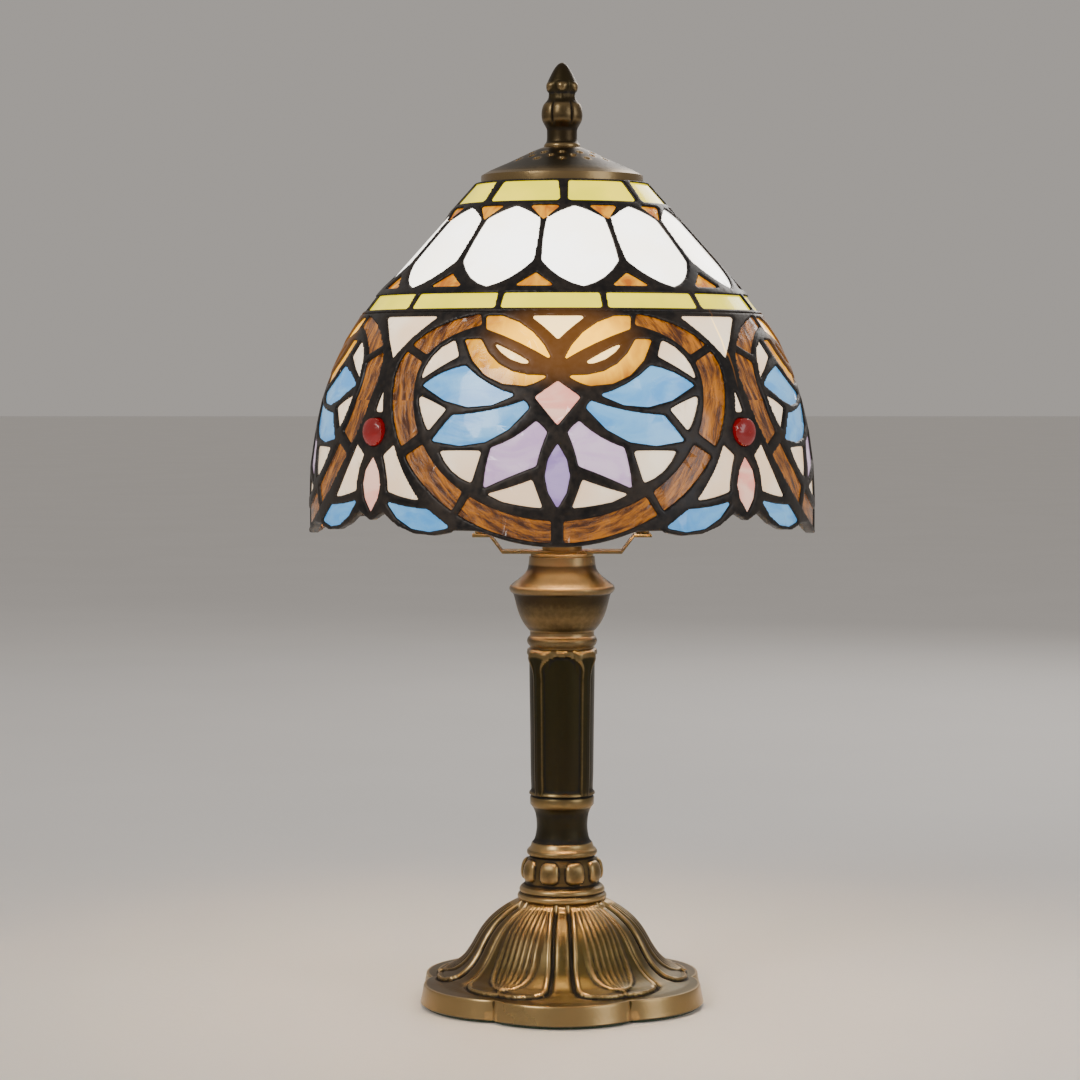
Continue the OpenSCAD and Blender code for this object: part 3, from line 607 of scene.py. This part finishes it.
def between(value, points):
    """Read a value off a line drawn through (place, value) points."""
    for (x0, y0), (x1, y1) in zip(points, points[1:]):
        if value <= x1:
            return y0 + (y1 - y0) * max(value - x0, 0) / (x1 - x0)
    return points[-1][1]


print("lathe ready")

# %% [markdown]
# ## Antique bronze
# A cast stand is coloured dark, then rubbed back, so hollows stay near black and ridges
# shine gold. The rubbing can be measured: a copy of the mesh is relaxed by a Smooth
# modifier, and wherever the real skin stands proud of that softened form, a cloth would
# catch it. The distance is stored as an attribute, and the finish reads it as wear.

# %% Bronze finish
RUB_REACH = 24
SHARES = (0.05, 0.25, 0.5, 0.75, 0.95)


def rub(obj):
    """Store how far each spot stands proud of the softened form, in millimetres."""
    soft = obj.copy()
    soft.data = obj.data.copy()
    scene.collection.objects.link(soft)
    apply_modifier(soft, "SMOOTH", factor=0.5, iterations=RUB_REACH)
    proud = obj.data.attributes.new("proud", "FLOAT", "POINT")
    spread = []
    for vertex, low in zip(obj.data.vertices, soft.data.vertices):
        spread.append((vertex.co - low.co).dot(vertex.normal) / MM)
    proud.data.foreach_set("value", spread)
    bpy.data.objects.remove(soft)
    spread.sort()
    steps = [round(spread[int(share * (len(spread) - 1))], 3) for share in SHARES]
    print(obj.name, "proud by", steps)


def antique_bronze(name, hollow, skin, rubbed, edge=(0.02, 0.2)):
    """Near black in hollows, brown on the skin, and gold where it stands proud past edge."""
    shader = Shader(name)
    proud = shader.node("ShaderNodeAttribute", {"attribute_name": "proud"}, output=2)
    cloud = shader.noise(38, detail=5)
    speck = shader.noise(620, detail=3)
    uneven = proud + (cloud - 0.5) * 0.1 + (speck - 0.5) * 0.06
    worn = uneven.ramp(*edge)
    sunk = 1 - uneven.ramp(-0.22, -0.03)
    olive = shader.noise(16, detail=2).ramp(0.42, 0.62)
    body = shader.mix(olive * 0.5, skin, tuple(c * f for c, f in zip(skin, (0.8, 1, 0.6))))
    colour = shader.mix(sunk, shader.mix(worn, body, rubbed), hollow)
    return shader.finish(
        Base_Color=colour, Metallic=0.92 - sunk * 0.4, Roughness=0.4 + sunk * 0.25
        + (cloud - 0.5) * 0.22 - worn * 0.1,
        Normal=shader.bump(cloud * 0.5 + speck * 0.5, 0.35, 0.0003))


CAST_BRONZE = antique_bronze("cast_bronze_rubbed", (0.012, 0.008, 0.004),
                             (0.105, 0.07, 0.03), (0.36, 0.245, 0.105))
CUP_BRONZE = antique_bronze("cast_bronze_brown", (0.014, 0.009, 0.005),
                            (0.05, 0.034, 0.018), (0.26, 0.18, 0.085))
# Painted shadow: a darker copy of the rubbed bronze stands for the shade's shadow on the column
# and the saddle; the rubbing itself is the real finish.
BRONZE_IN_PAINTED_SHADOW = antique_bronze("cast_bronze_painted_shadow", (0.01, 0.008, 0.005),
                             (0.034, 0.027, 0.013), (0.2, 0.14, 0.06), (0.08, 0.34))


def cast(obj, node_name, material, degrees=50):
    rub(obj)
    smooth(obj, degrees)
    paint(obj, material)
    stands_for(obj, node_name)


print("bronze ready")

# %% [markdown]
# ## Base
# Six leaves hang down the bell between six smooth strips, which flare out into the lobes
# of the foot. The round bell is spun first, the lobes are pulled out of its rim, and a
# formula paints the relief: grooves stay low, while strips, leaves and veins rise.

# %% Base shape
def top_of(node_name):
    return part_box(node_name)[1].z / MM


def foot_of(node_name):
    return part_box(node_name)[0].z / MM


LOBES = 6
HALF_LOBE = 180 / LOBES
FOOT_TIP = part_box("base")[1].y / MM
FOOT_NOTCH = FOOT_TIP - 5.5
PIPE = 5.2
RELIEF = 2.6
HUB = 18
BELL_TOP = 41
KNOP_FOOT = 41.2
TREAD_HEIGHT = 8.6
LOBE_TOP = 12
STRIP_WIDTH = [(18, 7.5), (36, 5.8), (45, 6.2), (48, 8), (50.5, 13), (52.5, 21), (54, 31)]
LEAF_WIDTH = [(18, 5), (24, 6.8), (30, 8), (36, 8.6), (40, 8.2), (43, 7), (46, 4.4),
              (48.4, 0.1)]


def lobed_foot(obj):
    """Draw the rim in between the lobes, and leave the bell round."""
    for vertex in obj.data.vertices:
        turn, radius, height = polar(vertex.co)
        if height < LOBE_TOP:
            notch = 1 - abs(math.cos(math.radians(turn * LOBES / 2))) ** 0.75
            pull = (FOOT_NOTCH - FOOT_TIP) * notch * ease(radius, 46, 57)
            vertex.co.x *= (radius + pull) / radius
            vertex.co.y *= (radius + pull) / radius


def base_relief(turn, radius, height):
    """Smooth strips down the lobes, and a veined leaf with a raised hem between each pair."""
    if height > BELL_TOP or radius < HUB or height < TREAD_HEIGHT:
        return 0
    off = repeat(turn, LOBES, HALF_LOBE)
    across = math.radians(off) * radius
    from_strip = math.radians(HALF_LOBE - abs(off)) * radius
    strip = math.radians(between(radius, STRIP_WIDTH)) * radius
    edge = from_strip - strip
    if edge < 0:
        crown = max(1 - (from_strip / strip) ** 4, 0)
        return crown * ease(-edge, 0.1, 1) * ease(54, radius, radius + 6) / RELIEF
    lift = 1.5 * ease(edge, 0.3, 1.1) + 0.35 * bead(edge, 1.7, 0.9)
    half = between(radius, LEAF_WIDTH)
    place = abs(across) / half
    if place < 1.12:
        veins = abs(math.cos(math.pi * 3.5 * place)) ** 0.7
        fade = ease(1 - place, 0, 0.15)
        lift += 0.45 * (1 - place ** 2) * (place < 1) + 0.45 * veins * fade
        lift += 0.7 * bead(place, 0.98, 0.13) * ease(radius, 24, 42)
    return lift / RELIEF


bell = curved([(47.5, 10.4), (43, 12.2), (38.6, 15.8), (35.2, 20.4), (32.8, 24.6), (30.4, 28.4),
               (27.4, 31.9), (23.4, 35.2), (19.6, 37.6)], 9)
plate = [(58.4 - i * 0.5, 8.9 + 0.05 * i) for i in range(20)]
base_outline = ([(FOOT_TIP, 1.2), (FOOT_TIP, 1.6), (FOOT_TIP - 0.8, 5), (FOOT_TIP - 1.3, 8.1),
                 (58.55, TREAD_HEIGHT)] + plate + bell
                + [(18.4, 38.4), (HUB, 39.4), (HUB, KNOP_FOOT), (PIPE, KNOP_FOOT),
                   (PIPE, 34.2), (18, 34.2),
                   (26.4, 30.4), (31, 25), (34.6, 19.4), (40, 12.6), (46, 8.4), (46, 1.2)])
foot = turned("bronze_base", base_outline, 432)
raise_relief(foot, base_relief, RELIEF)
lobed_foot(foot)
apply_modifier(foot, "SMOOTH", factor=0.4, iterations=1)
cast(foot, "base", CAST_BRONZE)

# %% [markdown]
# ## Knop, column, collar and cup
# Nine cushions ring the knop. The column carries four arched panels with a rib between
# each pair, and every rib ends in a leaf tip that curls out under the collar. The collar
# and the cup are plain turnings.

# %% Knop
CUSHIONS = 9
CUSHION_START = 20
CUSHION_REACH = 16
CUSHION = (4.2, 4.3)
CUSHION_HEIGHT = 53.2
COLUMN_FOOT = 64


def cushion_relief(turn, radius, height):
    across = math.radians(repeat(turn, CUSHIONS, CUSHION_START)) * CUSHION_REACH
    up = height - CUSHION_HEIGHT
    reach = (abs(across) / CUSHION[0]) ** 3.4 + (abs(up) / CUSHION[1]) ** 3.4
    return max(1 - reach, 0) ** 0.5 * (radius > 12)


knop_outline = ([(PIPE, KNOP_FOOT), (17.4, KNOP_FOOT)]
                + curved([(17.4, KNOP_FOOT), (18, 42), (17.9, 43.2), (17, 44)], 3)
                + curved([(16.9, 44.2), (17.3, 45), (16.9, 46.2), (15.6, 47.2)], 3)
                + curved([(15, 47.8), (15.3, 50), (15.3, 53), (14.6, 56), (13, 58.6)], 7)
                + curved([(13.2, 58.9), (14.1, 59.6), (14.2, 60.8), (13.5, 61.8)], 4)
                + [(12.8, 62.4), (12.3, COLUMN_FOOT), (PIPE, COLUMN_FOOT)])
knop = turned("bronze_knop", knop_outline, 216)
raise_relief(knop, cushion_relief, 1.5)
cast(knop, "base_knop", CAST_BRONZE)

# %% Column
PANELS = 4
HALF_PANEL = 180 / PANELS
COLUMN_REACH = 13.6
CARVED = (84, 143)
COLLAR_FOOT = 143.4
PANEL_HALF = 8.1
PANEL_FOOT = 85
ARCH_SPRING = 134
ARCH_RISE = 6.6
TIP_HEIGHT = 141
COLUMN_RELIEF = 2.6


def column_relief(turn, radius, height):
    """Ground round the sunk panels, a rib between each pair, and a leaf tip on each rib."""
    if height < CARVED[0] or height > CARVED[1] or radius < 11:
        return 0
    off = repeat(turn, PANELS)
    across = abs(math.radians(off)) * COLUMN_REACH
    if height > ARCH_SPRING:
        reach = math.hypot(across, (height - ARCH_SPRING) * PANEL_HALF / ARCH_RISE) - PANEL_HALF
    else:
        reach = max(across - PANEL_HALF, PANEL_FOOT - height)
    rise = 0.75 * ease(reach, -0.3, 0.35) + 0.25 * bead(reach, 0.7, 0.8)
    from_rib = math.radians(HALF_PANEL - abs(off)) * COLUMN_REACH
    curl = ease(height, 130, TIP_HEIGHT) * (1 - ease(height, TIP_HEIGHT + 0.2, CARVED[1]))
    half = 1.7 + 3.9 * ease(height, 126, 139)
    tip = bead(from_rib, 0, half) ** 0.5 * (1 - 0.35 * bead(from_rib, 0, half * 0.6))
    return (rise + 0.4 * bead(from_rib, 0, 1.7) * (1 - curl) + 1.7 * tip * curl) / COLUMN_RELIEF


column_outline = ([(PIPE, COLUMN_FOOT), (12.3, COLUMN_FOOT)]
                  + curved([(12.3, COLUMN_FOOT), (11.1, 65.6), (10.4, 69), (10.3, 72),
                            (10.7, 75.6), (11.6, 78)], 3)
                  + [(12.3, 79), (12.9, 79.8), (13, 82.6), (12.5, 83.4)]
                  + [(between(84 + i * 0.8, [(84, 12.4), (92, 12.7), (118, 13), (132, 13.2),
                                             (143, 13.3)]), 84 + i * 0.8) for i in range(74)]
                  + [(12.9, COLLAR_FOOT), (PIPE, COLLAR_FOOT)])
column = turned("bronze_column", column_outline, 216)
raise_relief(column, column_relief, COLUMN_RELIEF)
# The column takes the bronze darkened as painted shadow from the shade above.
cast(column, "column", BRONZE_IN_PAINTED_SHADOW)

# %% Collar and cup
CUP_FOOT = 149.6
CUP_TOP = 180
collar_outline = ([(PIPE, COLLAR_FOOT), (12.9, COLLAR_FOOT)]
                  + curved([(12.9, 143.6), (13.7, 144.6), (14.15, 145.8), (13.9, 147),
                            (13.2, 147.9)], 4)
                  + [(12.9, 148.3), (13, CUP_FOOT), (PIPE, CUP_FOOT)])
collar = turned("bronze_collar", collar_outline, 128)
cast(collar, "collar", CUP_BRONZE)

cup_outline = ([(PIPE, CUP_FOOT), (12.8, CUP_FOOT)]
               + curved([(12.8, CUP_FOOT), (13.6, 150.6), (15.2, 152.6), (16.9, 155.6),
                         (18.1, 159), (19.1, 163), (19.7, 165)], 4)
               + curved([(20, 165.2), (20.8, 165.9), (21.25, 167), (21, 168.1), (20.3, 168.8)], 3)
               + curved([(19.6, 169.4), (17.6, 170.9), (15.7, 172.5), (14.3, 174.2),
                         (13.6, 176.2), (13.2, CUP_TOP)], 4)
               + [(PIPE, CUP_TOP)])
cup = turned("bronze_cup", cup_outline, 160)
cast(cup, "cup", CUP_BRONZE)

# %% [markdown]
# ## Finial and cap
# The finial is a small casting: a neck, a bulb of six lobes, six leaf tips that stand out
# above it, and a smooth bud. The cap is spun brass sheet, and three staggered rings of
# holes let the bulb's heat out. They are drilled with a Boolean modifier.

# %% Finial
PETALS = 6
BULB_FOOT = 352


def finial_relief(turn, radius, height):
    """Lobes round the bulb, leaf tips above them, and a spine that joins the two."""
    if height < BULB_FOOT or radius < 2:
        return 0
    petal = max(math.cos(math.radians(repeat(turn, PETALS)) * PETALS / 2), 0)
    lobe = petal ** 0.45 * ease(height, BULB_FOOT, 355) * (1 - ease(height, 360, 363))
    tip = petal ** 1.5 * bead(height, 367.6, 2.2)
    spine = petal ** 6 * 0.35 * ease(height, 361, 364) * (1 - ease(height, 366, 368))
    return lobe * 0.8 + tip + spine


FINIAL_FOOT = foot_of("finial")
finial_outline = ([(3.3, FINIAL_FOOT), (7.2, FINIAL_FOOT), (7.3, 344.4)]
                  + curved([(7, 345), (6.3, 345.9), (6.05, 347.4), (6.05, 350.6)], 4)
                  + curved([(6.3, 351.4), (7, 352.8), (7.5, 355), (7.7, 357), (7.3, 359.4),
                            (6.3, 361.6), (5.5, 363.4), (5.3, 365.2)], 5)
                  + curved([(5.6, 366.6), (5.9, 368.2), (5.7, 369.8), (4.9, 371.6), (4, 373.4),
                            (2.8, 375.4), (1.4, 376.9), (0.02, 377.5)], 5)
                  + [(0.02, 356), (3.3, 356)])
finial = turned("bronze_finial", finial_outline, 120)
raise_relief(finial, finial_relief, 1.1)
cast(finial, "finial", CUP_BRONZE)

# %% Vented cap
VENT_RINGS = 3
VENTS = 12
VENT_FIRST = 14
VENT_PITCH = 2.9
VENT_WIDTH = 2.6
VENT_HEIGHT = 0.337
CAP_WALL = 0.9
cap_top = top_of("shade_cap")
cap_line = curved([(32.3, 332.4), (28.9, 334.3), (25.2, 335.95), (21.4, 337.6), (18.2, 339.1),
                   (14.7, 340.75), (11.5, 342.25), (7.3, cap_top)], 4)
inside = [(r, z - CAP_WALL) for r, z in reversed(cap_line)]
cap = turned("brass_cap", [(31.5, 329.2), (32.4, 329.2), (32.4, 331.6)] + cap_line
             + [(3.4, cap_top), (3.4, cap_top - CAP_WALL)] + inside[:-1] + [(31.5, 331.4)], 144)


def drilled(obj):
    """Cut the vent holes with one mesh of pins, each ring half a step round from the last."""
    bpy.ops.object.select_all(action="DESELECT")
    pins = []
    for ring in range(VENT_RINGS):
        reach = (VENT_FIRST + ring * VENT_PITCH) * MM
        for i in range(VENTS):
            turn = math.radians((i + ring / 2) * 360 / VENTS)
            place = (reach * math.sin(turn), -reach * math.cos(turn), VENT_HEIGHT)
            bpy.ops.mesh.primitive_cylinder_add(vertices=20, radius=VENT_WIDTH / 2 * MM,
                                                depth=20 * MM, location=place)
            pins.append(bpy.context.active_object)
    for pin in pins:
        pin.select_set(True)
    bpy.ops.object.join()
    drill = bpy.context.active_object
    settle(drill)
    apply_modifier(obj, "BOOLEAN", operation="DIFFERENCE", solver="EXACT", object=drill)
    bpy.data.objects.remove(drill)


drilled(cap)
cast(cap, "shade_cap", CUP_BRONZE, 30)
print("cap faces", len(cap.data.polygons))

# %% [markdown]
# ## Harp, socket and small hardware
# The plain hardware is already the right shape: tubes, washers, nuts and bent wire. A
# finishing shop would break the sharp edges and leave the turning marks, so each piece is a
# welded copy, most with a small Bevel, and a finish whose grain follows the way it was made.

# %% Metal and plastic finishes
def fine_metal(name, low, high, rough, grain=(60, 60, 900), thread=0):
    """Plain metal with turning marks; thread is the pitch of a screw in millimetres."""
    shader = Shader(name)
    marks = shader.noise(1, detail=4, at=shader.stretched(grain))
    tarnish = shader.noise(70, detail=5).ramp(0.38, 0.72)
    colour = shader.mix(tarnish * 0.8 + marks * 0.2, low, high)
    height = marks * 0.4
    if thread:
        x, y, z = shader.axes()
        turn = shader.node("ShaderNodeMath", {"operation": "ARCTAN2"}, y, x)
        height = (z * (2 * math.pi / (thread * MM)) + turn).wave() * 0.5 + marks * 0.1
    return shader.finish(Base_Color=colour, Metallic=1.0,
                         Roughness=rough + (1 - tarnish) * 0.12 + marks * 0.08,
                         Normal=shader.bump(height, 0.5 if thread else 0.25, 0.0004))


def moulded(name, deep, pale, rough, scale=300, strength=0.2):
    shader = Shader(name)
    grain = shader.noise(scale, detail=4)
    cloud = shader.noise(24, detail=2)
    return shader.finish(Base_Color=shader.mix(cloud * 0.6 + grain * 0.4, deep, pale),
                         Roughness=rough + grain * 0.15,
                         Normal=shader.bump(grain, strength, 0.0003))


def felted():
    shader = Shader("green_felt")
    fibre = shader.noise(1, detail=6, distortion=2.5, at=shader.stretched((700, 700, 700)))
    drift = shader.noise(50, detail=3)
    return shader.finish(Base_Color=shader.mix(fibre * 0.7 + drift * 0.3, (0.012, 0.03, 0.016),
                                               (0.06, 0.11, 0.07)),
                         Roughness=fibre * 0.1 + 0.88, Sheen_Weight=0.35,
                         Normal=shader.bump(fibre, 0.8, 0.0008))


AGED_BRASS = fine_metal("aged_brass", (0.26, 0.17, 0.07), (0.52, 0.37, 0.17), 0.3)
WIRE_BRASS = fine_metal("brass_wire", (0.3, 0.2, 0.08), (0.56, 0.4, 0.18), 0.24, (300, 300, 30))
BRIGHT_BRASS = fine_metal("bright_brass", (0.62, 0.44, 0.17), (0.83, 0.63, 0.3), 0.2)
SCREW_BRASS = fine_metal("screw_shell_brass", (0.6, 0.42, 0.16), (0.82, 0.62, 0.3), 0.22,
                         thread=3.6)
PLATED_STEEL = fine_metal("plated_steel", (0.42, 0.41, 0.39), (0.66, 0.66, 0.65), 0.26)
PIPE_STEEL = fine_metal("threaded_steel", (0.4, 0.39, 0.37), (0.62, 0.62, 0.61), 0.28, thread=1)
BULB_METAL = fine_metal("bulb_aluminium", (0.6, 0.6, 0.6), (0.8, 0.8, 0.81), 0.25, thread=3.6)
BLACK_PLASTIC = moulded("black_plastic", (0.012, 0.012, 0.012), (0.035, 0.034, 0.033), 0.38)
PHENOLIC = moulded("brown_phenolic", (0.05, 0.022, 0.01), (0.12, 0.06, 0.03), 0.34)
LINER_BOARD = moulded("liner_board", (0.34, 0.25, 0.15), (0.55, 0.44, 0.3), 0.8, 500, 0.5)
print("finishes for hardware ready")


# %% Bulb finishes
def glowing(name, shade, core, strength):
    """A lit surface whose tint drifts a little."""
    shader = Shader(name)
    drift = shader.noise(30, detail=2)
    return shader.finish(Base_Color=shader.mix(drift, shade, core), Roughness=drift * 0.1 + 0.1,
                         Emission_Color=shader.mix(drift, shade, core),
                         Emission_Strength=strength)


BULB_GLASS = glowing("frosted_bulb_glass", (1, 0.66, 0.36), (1, 0.74, 0.45), 70)
FILAMENT = glowing("hot_filament", (1, 0.5, 0.15), (1, 0.62, 0.25), 60)
print("bulb finishes ready")


# %% Finished hardware
def refined(node_name, material, bevel=0.0, degrees=35):
    """A welded copy of an engineering node, with its sharp edges broken when a bevel is given."""
    obj = welded_copy(node_name, node_name + "_finished")
    if bevel:
        apply_modifier(obj, "BEVEL", width=bevel * MM, segments=2, limit_method="ANGLE",
                       angle_limit=math.radians(40))
    smooth(obj, degrees)
    paint(obj, material)
    stands_for(obj, node_name)
    return obj


# Each node with its finish, and the width of its broken edges in millimetres
HARDWARE = {
    "base_felt": (felted(), 0.3),
    "threaded_pipe": (PIPE_STEEL, 0),
    "pipe_nuts": (PLATED_STEEL, 0.3),
    "lock_washer": (PLATED_STEEL, 0.15),
    "cord_bushing": (BLACK_PLASTIC, 0.3),
    "neck_washer": (AGED_BRASS, 0.3),
    "harp_sleeve_left": (AGED_BRASS, 0.2),
    "harp_sleeve_right": (AGED_BRASS, 0.2),
    "harp_wire": (WIRE_BRASS, 0),
    "harp_top": (AGED_BRASS, 0.3),
    "harp_spindle": (AGED_BRASS, 0.2),
    "socket_cap": (AGED_BRASS, 0.15),
    "socket_shell": (AGED_BRASS, 0.15),
    "socket_liner": (LINER_BOARD, 0),
    "socket_body": (PHENOLIC, 0.4),
    "socket_screw_shell": (SCREW_BRASS, 0),
    "socket_contact": (BRIGHT_BRASS, 0.2),
    "switch_knob": (BLACK_PLASTIC, 0.5),
    "bulb_base": (BULB_METAL, 0.2),
    "bulb_glass": (BULB_GLASS, 0),
    "bulb_filament": (FILAMENT, 0),
    "shade_top_ring": (AGED_BRASS, 0.15),
}
for node_name, (material, bevel) in HARDWARE.items():
    refined(node_name, material, bevel)
print("pieces of hardware:", len(HARDWARE))

# %% [markdown]
# ## Saddle
# The saddle is a strip bent down at both ends to carry the harp. Sheet metal never folds to
# a sharp corner or keeps a sharp edge, so a small Bevel breaks them all.

# %% Harp saddle
saddle = welded_copy("harp_saddle", "bronze_saddle")
apply_modifier(saddle, "BEVEL", width=0.3 * MM, segments=2, limit_method="ANGLE",
               angle_limit=math.radians(50))
# The saddle takes the same bronze darkened as painted shadow, under the shade.
cast(saddle, "harp_saddle", BRONZE_IN_PAINTED_SHADOW, 40)
print("saddle faces", len(saddle.data.polygons))

# %% Close the scene
bare = [name for name, obj in nodes.items() if name not in HARDWARE and not obj.hide_render]
print("engineering nodes still shown:", bare)
